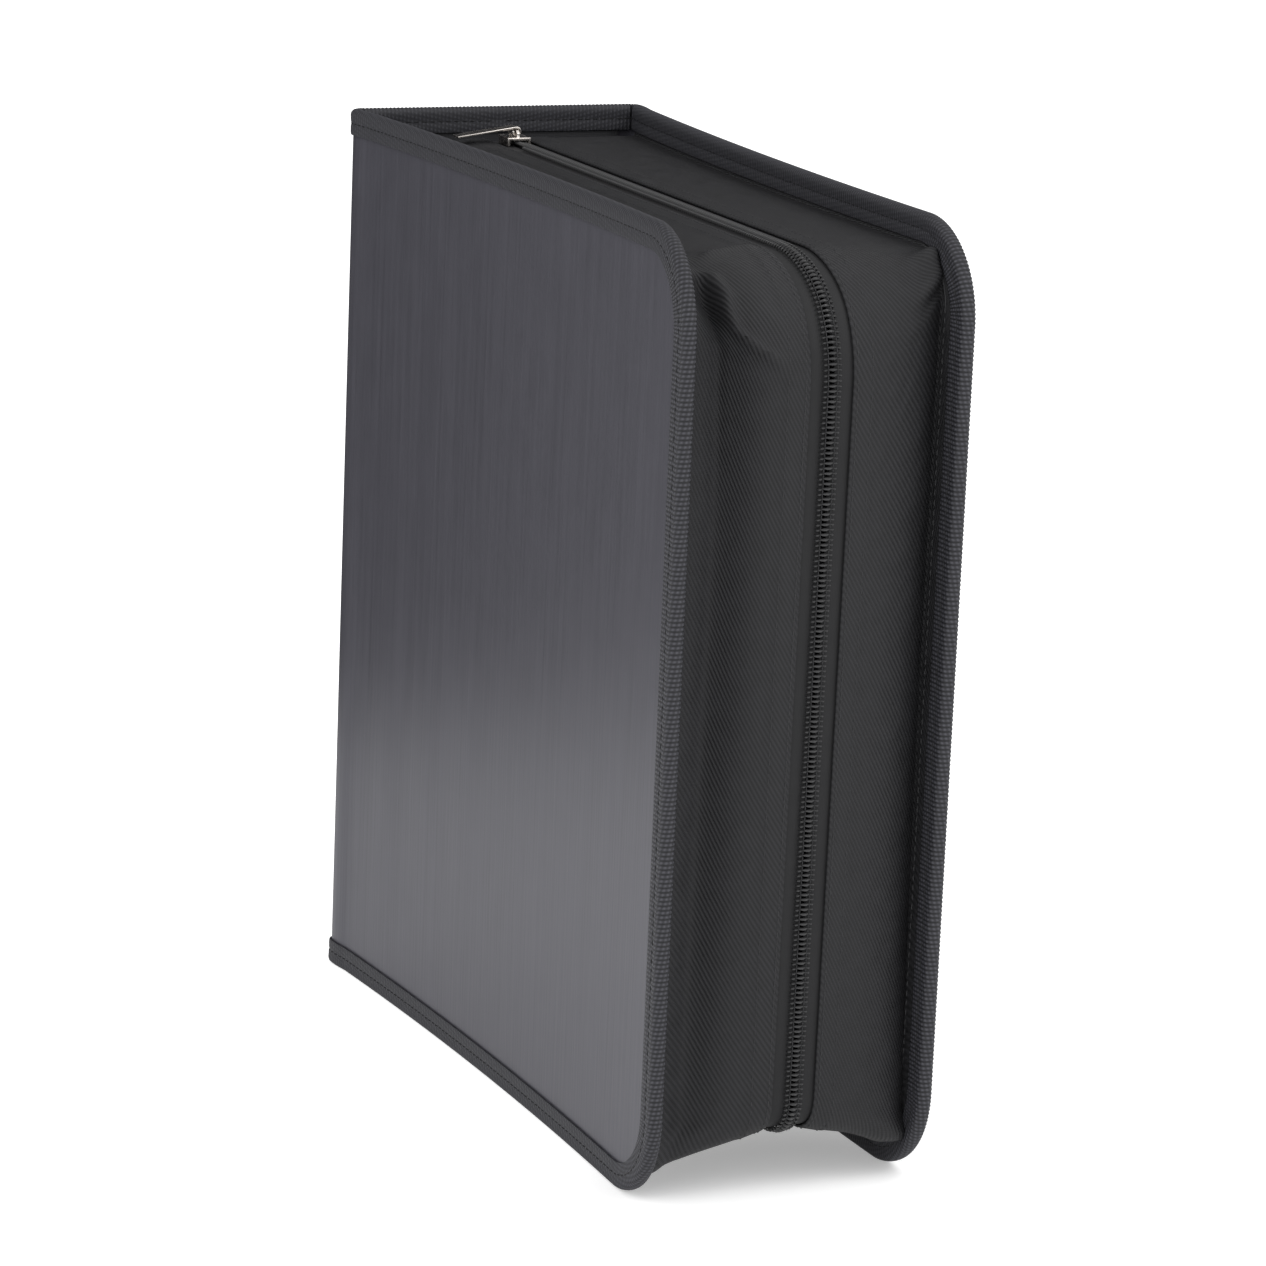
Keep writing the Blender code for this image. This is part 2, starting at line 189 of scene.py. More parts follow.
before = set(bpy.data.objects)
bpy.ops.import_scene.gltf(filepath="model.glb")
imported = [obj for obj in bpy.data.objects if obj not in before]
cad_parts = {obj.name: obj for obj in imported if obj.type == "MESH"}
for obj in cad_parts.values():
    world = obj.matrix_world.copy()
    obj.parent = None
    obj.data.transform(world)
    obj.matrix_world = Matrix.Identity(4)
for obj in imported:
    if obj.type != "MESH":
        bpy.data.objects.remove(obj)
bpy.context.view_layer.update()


def step_between(low, high, value):
    """0 below low, 1 above high, smooth in between."""
    share = np.clip((value - low) / (high - low), 0.0, 1.0)
    return share * share * (3.0 - 2.0 * share)


def joined(*parts):
    """Rows of values, one from each part. A part with fewer places is repeated."""
    return np.stack(np.broadcast_arrays(*parts), axis=-1)


def half_depth(x):
    """Distance from the middle plane to a cover's outer face."""
    share = (x - SPINE_X) / WIDTH
    straight = SPINE_DEPTH + (FORE_DEPTH - SPINE_DEPTH) * share
    return straight / 2 - 4 * COVER_BOW * share * (1 - share)


def folded(u, depth, z, side):
    """Points of a cover and its half of the spine from their unfolded place."""
    u, depth, z = np.broadcast_arrays(u, depth, z)
    turn = np.clip((u - FOLD_FROM) / FOLD_RADIUS, 0.0, math.pi / 2)
    radius = FOLD_RADIUS - depth
    past = np.maximum(u - FOLD_TO, 0.0)
    x = SPINE_X + FOLD_RADIUS - radius * np.cos(turn) + past
    narrowing = SPINE_DEPTH / 2 - half_depth(x)
    y = np.minimum(u, FOLD_FROM) + radius * np.sin(turn) - narrowing * step_between(0, 0.012, past)
    return joined(x, side * y, z)


def rail_at(start, end, top, foot, top_radius, foot_radius, turn):
    """Point and outward direction on a line round three edges, in its own plane.

    turn runs from 0 to 5: top run, upper corner, fore-edge, lower corner, foot run.
    """
    start, end, top, foot, top_radius, foot_radius, turn = np.broadcast_arrays(
        start, end, top, foot, top_radius, foot_radius, turn)
    part = np.clip(np.floor(turn), 0, 4)
    share = turn - part
    upper = np.radians(90 - 90 * share)
    lower = np.radians(-90 * share)
    across = [start + (end - top_radius - start) * share,
              end - top_radius + top_radius * np.cos(upper),
              end + 0 * share,
              end - foot_radius + foot_radius * np.cos(lower),
              end - foot_radius + (start - end + foot_radius) * share]
    height = [top + 0 * share,
              top - top_radius + top_radius * np.sin(upper),
              top - top_radius + (foot + foot_radius - top + top_radius) * share,
              foot + foot_radius + foot_radius * np.sin(lower),
              foot + 0 * share]
    out_x = [0 * share, np.cos(upper), 1 + 0 * share, np.cos(lower), 0 * share]
    out_z = [1 + 0 * share, np.sin(upper), 0 * share, np.sin(lower), -1 + 0 * share]
    part = part.astype(int)
    return tuple(np.choose(part, values) for values in (across, height, out_x, out_z))


def rail_lengths(start, end, top, foot, top_radius, foot_radius):
    """Lengths of the five parts of a rail."""
    return np.array([end - top_radius - start, top_radius * math.pi / 2,
                     top - top_radius - foot - foot_radius, foot_radius * math.pi / 2,
                     end - foot_radius - start])


def turn_at(rail, distance):
    """The turn value at a distance along a rail."""
    ends = np.concatenate([[0.0], np.cumsum(rail_lengths(*rail))])
    return np.interp(distance, ends, np.arange(6))


def distance_at(rail, turn):
    """Distance along a rail at a turn value."""
    ends = np.concatenate([[0.0], np.cumsum(rail_lengths(*rail))])
    return np.interp(turn, np.arange(6), ends)


def edge_rail(inset):
    """Unfolded line at one distance inside the outline of a cover with its half spine."""
    return (0.0, SHEET_END - inset, HEIGHT - inset, inset, CORNER_RADIUS - inset,
            CORNER_RADIUS - inset)


def zip_rail(lift):
    """Line on the zip's path, raised outwards from the middle of its tape."""
    return (GUSSET_X, WIDTH / 2 - ZIP_FORE_INSET + lift, ZIP_Z + lift,
            ZIP_FOOT_RISE - lift, ZIP_TOP_RADIUS + lift, ZIP_FOOT_RADIUS + lift)


def sway(turn):
    """How far the zip leans towards the back cover down the fore-edge."""
    size = SWAY_UPPER + (SWAY_LOWER - SWAY_UPPER) * np.clip(turn - 2, 0, 1)
    return size * step_between(0.98, 1.6, turn) * (1 - step_between(3.3, 4.2, turn))


def quads(rows, columns, wrap=False):
    """Faces of a grid of points, closed across its rows where asked."""
    index = np.arange(rows * columns).reshape(rows, columns)
    if wrap:
        index = np.vstack([index, index[:1]])
    return np.stack([index[:-1, :-1], index[:-1, 1:], index[1:, 1:], index[1:, :-1]],
                    axis=-1).reshape(-1, 4)


def unit(vectors):
    """Vectors of length one."""
    return vectors / np.maximum(np.linalg.norm(vectors, axis=-1, keepdims=True), 1e-12)


def normals_of(grid):
    """Unit normals of a grid of points."""
    return unit(np.cross(np.gradient(grid, axis=1), np.gradient(grid, axis=0)))


def outward_normals(grid):
    """Unit normals of a grid that starts on the top run, turned so that they point up there."""
    normal = normals_of(grid)
    return -normal if normal[-1, 0, 2] < 0 else normal


def add_object(name, data):
    """A new object in the scene."""
    item = bpy.data.objects.new(name, data)
    bpy.context.scene.collection.objects.link(item)
    return item


def smooth_piece(name, mesh, shape, material, body, sharp_deg=SMOOTH_DEG):
    """Write a shape into a mesh and make it a smooth piece, riding on a body if one is named."""
    bmesh.ops.recalc_face_normals(shape, faces=shape.faces)
    shape.to_mesh(mesh)
    shape.free()
    mesh.materials.clear()
    mesh.materials.append(material)
    mesh.shade_smooth()
    mesh.set_sharp_from_angle(angle=math.radians(sharp_deg))
    piece = add_object(name, mesh)
    if body is not None:
        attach(piece, body)
    return piece


def make_piece(name, points, faces, material, body, caps=(), flat=None):
    """A mesh of the case, with its flat layout in metres as UV, riding on a body."""
    mesh = bpy.data.meshes.new(name)
    mesh.from_pydata(np.asarray(points).tolist(), [], np.asarray(faces).tolist() + list(caps))
    if flat is not None:
        layer = mesh.uv_layers.new(name=UV_NAME)
        corners = np.empty(len(mesh.loops), np.int32)
        mesh.loops.foreach_get("vertex_index", corners)
        layer.uv.foreach_set("vector", np.asarray(flat)[corners].astype(np.float32).ravel())
    shape = bmesh.new()
    shape.from_mesh(mesh)
    return smooth_piece(name, mesh, shape, material, body)


def tube_piece(name, grid, flat, material, body):
    """A closed section swept along the columns of a grid and capped at both ends."""
    rows, columns = grid.shape[:2]
    start_cap = [row * columns for row in range(rows)]
    end_cap = [row * columns + columns - 1 for row in range(rows)]
    return make_piece(name, grid.reshape(-1, 3), quads(rows, columns, True), material, body,
                      (start_cap, end_cap[::-1]), flat.reshape(-1, 2))


def sheet_piece(name, outer, inner, flat, material, body, slot):
    """A thin solid between two grids."""
    rows, columns = outer.shape[:2]
    count = rows * columns
    index = np.arange(count).reshape(rows, columns)
    border = np.concatenate([index[0], index[1:, -1], index[-1, -2::-1], index[-2:0:-1, 0]])
    following = np.roll(border, -1)
    rim = joined(border, following, following + count, border + count)
    face = quads(rows, columns)
    points = np.concatenate([outer.reshape(-1, 3), inner.reshape(-1, 3)])
    faces = np.concatenate([face, face[:, ::-1] + count, rim])
    layout = np.concatenate([flat.reshape(-1, 2), flat.reshape(-1, 2)])
    return make_piece(name, points, faces, material, body, flat=layout)


def rod_piece(name, paths, axes, radii, sides, material, body):
    """Many round rods in one piece, each a row of centres with a width axis.

    paths and axes are (count, steps, 3), and radii (steps, 2) holds the half sizes along
    the axis and square to it.
    """
    count, steps = paths.shape[:2]
    along = unit(np.gradient(paths, axis=1))
    across = unit(axes - along * (axes * along).sum(-1, keepdims=True))
    upright = np.cross(along, across)
    angles = 2 * np.pi * np.arange(sides) / sides
    ring = (paths[:, :, None]
            + across[:, :, None] * (radii[None, :, None, :1] * np.cos(angles)[:, None])
            + upright[:, :, None] * (radii[None, :, None, 1:] * np.sin(angles)[:, None]))
    index = np.arange(steps * sides).reshape(steps, sides)
    turned = np.roll(index, -1, axis=1)
    face = np.stack([index[:-1], turned[:-1], turned[1:], index[1:]], axis=-1).reshape(-1, 4)
    offsets = np.arange(count)[:, None, None] * steps * sides
    caps = (index[[0, -1]][None] + offsets).reshape(-1, sides).tolist()
    faces = (face[None] + offsets).reshape(-1, 4)
    return make_piece(name, ring.reshape(-1, 3), faces, material, body, caps)


class Graph:
    """Node tree with short ways to add nodes."""

    def __init__(self, tree):
        self.tree = tree

    def node(self, kind, source=None, **values):
        """Add a shader node fed by a source. Values name its inputs or its properties."""
        item = self.tree.nodes.new("ShaderNode" + kind)
        for key, value in values.items():
            socket = item.inputs.get(key.replace("_", " ").title())
            if socket is None:
                setattr(item, key, value)
            else:
                socket.default_value = value
        if source is not None:
            self.link(source, item.inputs[0])
        return item

    def link(self, source, target):
        self.tree.links.new(source, target)

    def math(self, operation, *values):
        item = self.node("Math", operation=operation)
        for socket, value in zip(item.inputs, values):
            if isinstance(value, (int, float)):
                socket.default_value = value
            else:
                self.link(value, socket)
        return item.outputs[0]

    def weighted(self, first, first_share, second, second_share):
        """Sum of two values, each times its share."""
        return self.math("ADD", self.math("MULTIPLY", first, first_share),
                         self.math("MULTIPLY", second, second_share))

    def ranged(self, source, low, high, start=0.0, end=1.0, kind="LINEAR"):
        """A value taken from start to end onto low to high, and held there past them."""
        return self.node("MapRange", source, interpolation_type=kind, from_min=start,
                         from_max=end, to_min=low, to_max=high).outputs[0]

    def seen_ray(self):
        """1 for camera, glossy and transmission rays, else 0."""
        rays = self.node("LightPath").outputs
        seen = self.math("MAXIMUM", rays["Is Camera Ray"], rays["Is Glossy Ray"])
        return self.math("MAXIMUM", seen, rays["Is Transmission Ray"])


class Look(Graph):
    """Material with a Principled shader, varied by nodes."""

    def __init__(self, name, colour, roughness, metallic=0.0, specular=0.5):
        self.material = bpy.data.materials.new(name)
        self.material.use_nodes = True
        self.material.diffuse_color = (*colour, 1.0)
        super().__init__(self.material.node_tree)
        self.base = colour
        self.shader = self.tree.nodes["Principled BSDF"]
        self.set(base_color=(*colour, 1.0), roughness=roughness, metallic=metallic)
        self.shader.inputs["Specular IOR Level"].default_value = specular

    def set(self, **values):
        """Set inputs of the shader."""
        for key, value in values.items():
            self.shader.inputs[key.replace("_", " ").title()].default_value = value

    def layout(self):
        """The piece's flat layout in metres."""
        return self.node("UVMap", uv_map=UV_NAME).outputs[0]

    def place(self):
        """The place on the piece in metres."""
        return self.node("TexCoord").outputs["Object"]

    def mapped(self, source, scale=(1, 1, 1), turn_deg=0.0):
        """A vector scaled and turned in its plane."""
        turn = (0, 0, math.radians(turn_deg))
        return self.node("Mapping", source, scale=scale, rotation=turn).outputs[0]

    def wave(self, source, pitch, distortion=0.0, direction="X"):
        """Bands of one pitch in metres."""
        return self.node("TexWave", source, bands_direction=direction,
                         scale=math.pi / (10 * pitch), distortion=distortion, detail=1.0,
                         detail_scale=0.6).outputs["Fac"]

    def noise(self, source, scale, detail=3.0, roughness=0.5):
        return self.node("TexNoise", source, scale=scale, detail=detail,
                         roughness=roughness).outputs["Fac"]

    def shades(self, share, low, high):
        """Vary the base colour between two multiples of it."""
        item = self.node("Mix", share, data_type="RGBA")
        for socket, factor in zip([s for s in item.inputs if s.type == "RGBA"], (low, high)):
            socket.default_value = (*[channel * factor for channel in self.base], 1.0)
        mixed = [s for s in item.outputs if s.type == "RGBA"][0]
        self.link(mixed, self.shader.inputs["Base Color"])

    def roughness(self, share, low, high):
        self.link(self.ranged(share, low, high), self.shader.inputs["Roughness"])

    def between(self, source, start, end, ease):
        """1 between two values, easing to 0 outside them."""
        return self.math("MULTIPLY", self.ranged(source, 0, 1, start - ease, start, "SMOOTHSTEP"),
                         self.ranged(source, 0, 1, end + ease, end, "SMOOTHSTEP"))

    def bump(self, height, distance, strength):
        item = self.node("Bump", distance=distance, strength=strength)
        self.link(height, item.inputs["Height"])
        self.link(item.outputs[0], self.shader.inputs["Normal"])


SHELL_COLOUR = (0.0495, 0.0485, 0.0575)
SHELL_GLOSS = 0.29
SHELL_GLOSS_TINT = (0.82, 0.81, 1.0, 1.0)
RIBBON_COLOUR = (0.025, 0.025, 0.029)
CLOTH_COLOUR = (0.016, 0.016, 0.0175)
TAPE_COLOUR = (0.018, 0.018, 0.019)
COIL_COLOUR = (0.023, 0.023, 0.024)
LINING_COLOUR = (0.020, 0.020, 0.022)
THREAD_COLOUR = (0.034, 0.034, 0.036)
DARK_THREAD_COLOUR = (0.008, 0.008, 0.009)
FILM_COLOUR = (0.070, 0.070, 0.076)
METAL_COLOUR = (0.80, 0.75, 0.70)
CLOTH_SPECULAR = 0.25
COIL_GLOSS = 0.44


def shell_look():
    """Satin polypropylene with a fine upright grain and soft mottling."""
    look = Look("shell_polypropylene", SHELL_COLOUR, 0.38, specular=SHELL_GLOSS)
    layout = look.layout()
    grain = look.noise(look.mapped(layout, (640, 11, 1)), 1.0, 4.0, 0.6)
    coarse = look.noise(look.mapped(layout, (230, 6, 1)), 1.0)
    mottle = look.noise(look.mapped(layout, (90, 60, 1)), 1.0, 2.0)
    both = look.weighted(grain, 0.72, coarse, 0.28)
    look.shades(look.weighted(both, 0.8, mottle, 0.2), 0.50, 1.50)
    look.roughness(both, 0.35, 0.42)
    look.bump(look.weighted(both, 1.0, mottle, 0.3), 0.00010, 0.9)
    look.set(specular_tint=SHELL_GLOSS_TINT)
    return look.material


def twill_look():
    """Nylon twill: steep diagonal ridges crossed by fine threads."""
    look = Look("twill_nylon", CLOTH_COLOUR, 0.62, specular=CLOTH_SPECULAR)
    layout = look.layout()
    ridges = look.wave(look.mapped(layout, turn_deg=TWILL_TURN_DEG), TWILL_PITCH, 0.5)
    threads = look.wave(look.mapped(layout, turn_deg=TWILL_TURN_DEG + CROSS_TURN_DEG),
                        CROSS_PITCH, 0.4)
    blotch = look.noise(layout, 160.0)
    height = look.weighted(ridges, 0.8, threads, 0.2)
    look.shades(look.weighted(height, 0.55, blotch, 0.45), 0.25, 1.8)
    look.roughness(blotch, 0.52, 0.70)
    look.bump(height, 0.00022, 0.9)
    return look.material


def ribbon_look():
    """Woven ribbon: the cross ribs are in the mesh, and here rows of knots stand on them."""
    look = Look("ribbed_ribbon", RIBBON_COLOUR, 0.58, specular=CLOTH_SPECULAR)
    layout = look.layout()
    ribs = look.wave(layout, RIB_PITCH)
    knots = look.wave(look.mapped(layout, turn_deg=KNOT_LEAN_DEG), KNOT_PITCH, direction="Y")
    fibres = look.noise(look.mapped(layout, (900, 4200, 1)), 1.0, 2.0)
    height = look.math("MULTIPLY", ribs, look.math("MULTIPLY_ADD", knots, 0.65, 0.35))
    tone = look.weighted(height, 0.85, fibres, 0.15)
    along = look.node("SeparateXYZ", layout).outputs[0]
    # Painted light and shade: the ribs' light and dark pattern is at full contrast down the fore-edge,
    # where raking light picks them out, and fainter on the top and foot runs and the spine.
    wear_and_rib_shade = look.between(along, RIBBON_RIB_SHADE_FROM, RIBBON_RIB_SHADE_TO, RIBBON_RIB_SHADE_EASE)
    contrast = look.math("MULTIPLY_ADD", wear_and_rib_shade, 1 - PLAIN_CONTRAST, PLAIN_CONTRAST)
    off_middle = look.math("SUBTRACT", tone, MIDDLE_TONE)
    look.shades(look.math("MULTIPLY_ADD", off_middle, contrast, MIDDLE_TONE), 0.25, 3.0)
    look.bump(look.weighted(height, 1.0, fibres, 0.25), 0.00018, 0.8)
    return look.material


def tape_look():
    """Zip tape: fine ribs along its length."""
    look = Look("zip_tape_weave", TAPE_COLOUR, 0.70, specular=CLOTH_SPECULAR)
    layout = look.layout()
    ribs = look.wave(layout, 0.00055, 0.1, "Y")
    picks = look.wave(layout, 0.00040, 0.2)
    blotch = look.noise(layout, 240.0, 2.0)
    height = look.weighted(ribs, 0.6, picks, 0.25)
    look.shades(look.weighted(height, 0.5, blotch, 0.5), 0.75, 1.25)
    look.bump(height, 0.00004, 0.6)
    return look.material


def coil_look():
    """Black nylon of the zip's teeth."""
    look = Look("nylon_coil", COIL_COLOUR, 0.40, specular=COIL_GLOSS)
    worn = look.noise(look.place(), 900.0, 2.0)
    look.shades(worn, 0.8, 1.3)
    look.roughness(worn, 0.34, 0.48)
    return look.material


def thread_look(name, colour):
    """Sewing thread, with its twist."""
    look = Look(name, colour, 0.55, specular=CLOTH_SPECULAR)
    twist = look.noise(look.place(), 2600.0, 2.0)
    look.shades(twist, 0.6, 1.4)
    look.bump(twist, 0.00005, 0.6)
    return look.material


def lining_look():
    """Plain woven cloth over board."""
    look = Look("woven_lining", LINING_COLOUR, 0.80, specular=CLOTH_SPECULAR)
    layout = look.layout()
    weave = look.math("MAXIMUM", look.wave(layout, LINING_PITCH, 0.3),
                      look.wave(layout, LINING_PITCH, 0.3, "Y"))
    look.shades(look.weighted(weave, 0.5, look.noise(layout, 90.0), 0.5), 0.65, 1.4)
    look.bump(weave, 0.00008, 0.6)
    return look.material


def film_look():
    """Clear pocket film over dark soft backing."""
    look = Look("disc_sleeve_film", FILM_COLOUR, 0.30)
    fleece = look.noise(look.place(), 700.0, 4.0)
    look.shades(fleece, 0.6, 1.4)
    look.roughness(look.noise(look.place(), 35.0, 2.0), 0.20, 0.42)
    look.bump(fleece, 0.00005, 0.4)
    look.set(coat_weight=0.35, coat_roughness=0.12)
    return look.material


def metal_look():
    """Nickel plate with light rubbing."""
    look = Look("nickel_plate", METAL_COLOUR, 0.24, 1.0)
    wear_and_rib_shade = look.noise(look.mapped(look.place(), (3000, 400, 400)), 1.0)
    look.shades(wear_and_rib_shade, 0.86, 1.0)
    look.roughness(wear_and_rib_shade, 0.16, 0.34)
    look.bump(wear_and_rib_shade, 0.00002, 0.4)
    return look.material


def stitches(name, points, outward, along, material, body, length, radius):
    """Short thread bridges, each standing on the cloth at one point."""
    steps = np.linspace(-1, 1, 4)
    rise = radius * (1.0 - steps ** 2) * 1.1 - radius * 0.35
    paths = (points[:, None] + along[:, None] * (steps * length / 2)[None, :, None]
             + outward[:, None] * rise[None, :, None])
    axes = np.repeat(np.cross(along, outward)[:, None], len(steps), axis=1)
    radii = np.stack([radius * (1 - 0.45 * steps ** 4)] * 2, axis=-1)
    return rod_piece(name, paths, axes, radii, STITCH_SIDES, material, body)


def edge_drop(places, corner, radius):
    """How far a rounded outline falls from its straight edge past the start of its corner."""
    return radius - np.sqrt(np.maximum(radius ** 2 - np.maximum(places - corner, 0) ** 2, 0))


def shell(label, side, material):
    """Cover sheet, fold and half of the spine as one bent sheet with a soft crown."""
    radius = CORNER_RADIUS - SHEET_INSET
    corner_u = SHEET_END - CORNER_RADIUS
    u = np.concatenate([np.linspace(0, FOLD_FROM, 12)[:-1],
                        np.linspace(FOLD_FROM, FOLD_TO, 13)[:-1],
                        np.linspace(FOLD_TO, corner_u, 64)[:-1],
                        corner_u + radius * np.sin(np.radians(np.linspace(0, 90, 15)))])
    share = np.linspace(0, 1, 61)[:, None]
    low = SHEET_INSET + edge_drop(u, corner_u, radius)
    z = low + (HEIGHT - 2 * low) * share
    past = u - FOLD_TO
    rise = np.sin(np.pi * share)
    crown = CROWN * np.sin(np.pi * np.clip(past / (SHEET_END - FOLD_TO), 0, 1)) * rise
    ripple = RIPPLE * np.sin(2 * np.pi * past / RIPPLE_LENGTH + 0.5 * rise)
    ripple = ripple * step_between(0, 0.02, past) * (1 - step_between(0.05, 0.16, past))
    swell = (crown + ripple * rise) * step_between(0, 0.01, past)
    outer = folded(u, PANEL_DEPTH - swell, z, side)
    inner = folded(u, PANEL_DEPTH - swell + SHEET, z, side)
    flat = joined(u * side, z)
    piece = sheet_piece(f"{label}_shell", outer, inner, flat, material, None, "shell")
    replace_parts(piece, f"{label}_cover_panel", "spine_panel")
    return piece


def binding_path():
    """Section of the folded ribbon: (depth, inset, rib share) from face to face and back."""
    face = [(0.00062, 0.00868, 0.0), (0.00010, 0.00858, 0.35), (0.0, 0.0078, 0.5),
            (0.0, 0.0056, 0.5), (0.00016, 0.0047, 0.1), (0.0, 0.0038, 0.6), (0.0, 0.0026, 0.8)]
    bend = [(RIBBON_ROUND * (1 - math.cos(turned)), RIBBON_ROUND * (1 - math.sin(turned)), 1.0)
            for turned in np.radians((0, 30, 60, 90))]
    outside = face + bend
    middle = [(COVER_DEPTH / 2, -0.00005, 1.0)]
    inside = [(COVER_DEPTH - depth, inset, rib) for depth, inset, rib in reversed(outside)]
    returning = [(COVER_DEPTH - RIBBON, 0.0078, 0.0), (COVER_DEPTH - RIBBON, 0.0016, 0.0),
                 (RIBBON, 0.0016, 0.0), (RIBBON, 0.0078, 0.0)]
    return outside + middle + inside + returning


def binding(label, side, material, thread):
    """Ribbed ribbon folded over the edges of a cover and of its half of the spine."""
    section = binding_path()
    rail = edge_rail(0.0)
    length = rail_lengths(*rail).sum()
    ribs = int(round(length / RIB_PITCH))
    distance = np.linspace(0, length, ribs * 4 + 1)
    turn = turn_at(rail, distance)
    rows = []
    for depth, inset, _ in section:
        u, z, _, _ = rail_at(*edge_rail(inset), turn)
        rows.append(folded(u, depth, z, side))
    steps = [math.dist(here[:2], there[:2]) for here, there in zip(section, section[1:])]
    across = np.cumsum([0.0] + steps)
    layout = joined(distance[None], across[:, None])
    grid = np.array(rows)
    normal = normals_of(grid)
    if ((grid - grid.mean(axis=0, keepdims=True)) * normal).sum() < 0:
        normal = -normal
    wave = 0.5 - 0.5 * np.cos(2 * np.pi * distance * ribs / length)
    height = np.array([rib for _, _, rib in section])[:, None] * wave[None] * RIB_HEIGHT
    piece = tube_piece(f"{label}_ribbon", grid + normal * height[..., None], layout, material, None)
    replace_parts(piece, f"{label}_edge_binding", "spine_top_binding", "spine_foot_binding")
    return piece, sew_binding(label, side, thread)


def sew_binding(label, side, thread):
    """Lock stitches along both faces of the ribbon."""
    rail = edge_rail(BINDING_SEAM_INSET)
    distance = np.arange(0.004, rail_lengths(*rail).sum() - 0.003, SEAM_PITCH)
    u, z, _, _ = rail_at(*rail, turn_at(rail, distance))
    u_ahead, z_ahead, _, _ = rail_at(*rail, turn_at(rail, distance + 0.0004))
    pieces = []
    for face, depth, out in (("outer", THREAD_SINK, 1), ("inner", COVER_DEPTH - THREAD_SINK, -1)):
        here = folded(u, depth, z, side)
        along = unit(folded(u_ahead, depth, z_ahead, side) - here)
        outward = unit(folded(u, depth - 0.0002 * out, z, side) - here)
        pieces.append(stitches(f"{label}_ribbon_seam_{face}", here, outward, along, thread,
                               None, SEAM_STITCH, 0.00019))
    return pieces


def gusset_spec(share, side, leg_inset=None):
    """Rail values of the gusset at a share of its width, or on its leg down the lining."""
    if leg_inset is not None:
        radius = CORNER_RADIUS - leg_inset
        return (GUSSET_X, WIDTH / 2 - leg_inset, HEIGHT - leg_inset, leg_inset, radius, radius)
    edge_lift = TAPE / 2 + SEAT + HEM / 2

    def blend(at_turn, at_zip, power):
        return at_zip + (at_turn - at_zip) * (1 - share) ** power

    return (GUSSET_X,
            WIDTH / 2 - blend(TURN_FORE, ZIP_FORE_INSET - edge_lift, EASE_FORE),
            HEIGHT - blend(TURN_TOP[side], ZIP_TOP_DROP - edge_lift, EASE_TOP),
            blend(TURN_FOOT, ZIP_FOOT_RISE - edge_lift, EASE_FOOT),
            blend(TURN_TOP_RADIUS[side], ZIP_TOP_RADIUS + edge_lift, EASE_TOP),
            blend(TURN_FOOT_RADIUS, ZIP_FOOT_RADIUS + edge_lift, EASE_FOOT))


def gusset_middle(side, turn):
    """Middle surface of the cloth before its wrinkles, and its share rows."""
    leg_depth = LINING_DEPTH + LINING + SEAT + CLOTH / 2
    foot_of_leg = gusset_spec(0, side, BINDING_WIDTH + 2 * SEAT)
    rows = []
    for step in range(LEG_ROWS):
        spec = [start + (end - start) * step / LEG_ROWS
                for start, end in zip(foot_of_leg, gusset_spec(0.0, side))]
        x, z, _, _ = rail_at(*spec, turn)
        rows.append(joined(x, side * (half_depth(x) - leg_depth), z))
    free = (np.arange(FREE_ROWS + 1) / FREE_ROWS) ** 1.1
    for share in free:
        x, z, _, _ = rail_at(*gusset_spec(share, side), turn)
        y = (1 - share) * (half_depth(x) - leg_depth) + share * GUSSET_EDGE
        rows.append(joined(x, side * y + share * sway(turn), z))
    grid = np.array(rows)
    for _ in range(4):
        inner = grid[LEG_ROWS - 3:LEG_ROWS + 4].copy()
        around = grid[LEG_ROWS - 4:LEG_ROWS + 3] + grid[LEG_ROWS - 2:LEG_ROWS + 5]
        grid[LEG_ROWS - 3:LEG_ROWS + 4] = 0.25 * around + 0.5 * inner
    return grid, np.concatenate([-0.01 * np.arange(LEG_ROWS, 0, -1), free])


def fore_window(turn):
    """1 along the fore-edge, easing to 0 on the top and foot runs."""
    return step_between(1.0, 1.7, turn) * (1 - step_between(3.0, 3.8, turn))


def bank_and_valley(turn, share):
    """Front gusset down the fore-edge: a raised bank by the cover and a valley beside it."""
    centre = np.interp(turn, [1.6, 2.0, 2.2, 2.6, 3.0, 3.5], [0.26, 0.30, 0.32, 0.29, 0.26, 0.20])
    place = share[:, None]
    off_bank = place - 0.05
    bank = BANK_RISE * np.exp(-(off_bank / 0.11) ** 2)
    off_valley = place - centre
    valley_width = np.where(off_valley < 0, 0.10, 0.27)
    valley = -VALLEY_DEPTH * np.exp(-(off_valley / valley_width) ** 2)
    pocket = 1 - 0.9 * np.exp(-((turn - 1.75) / 0.30) ** 2)
    return fore_window(turn)[None] * (bank * pocket + valley)


def foot_corner(turn, share):
    """Cloth standing out at the lower corner beside each cover, where the strip is folded under."""
    away = np.hypot((turn - 3.35) / 0.42, (share[:, None] - 0.12) / 0.30)
    return FOOT_BULGE * np.exp(-away ** 2)


def gather(turn, share, side):
    """Radial folds of the cloth where the strip goes round a corner."""
    near = np.exp(-((share - 0.10) / 0.16) ** 2)[:, None]
    height = np.zeros((len(share), len(turn)))
    upper = 0.0005 if side < 0 else 0.0011
    for start, folds, size, shift in ((1.0, 2.6, upper, 0.3), (3.0, 2.2, 0.0008, 1.1)):
        inside = step_between(start - 0.04, start + 0.18, turn)
        inside = inside * (1 - step_between(start + 0.82, start + 1.04, turn))
        phase = 2 * np.pi * folds * (turn - start) + shift + 0.8 * side
        height += near * inside * size * np.cos(phase)
    return height


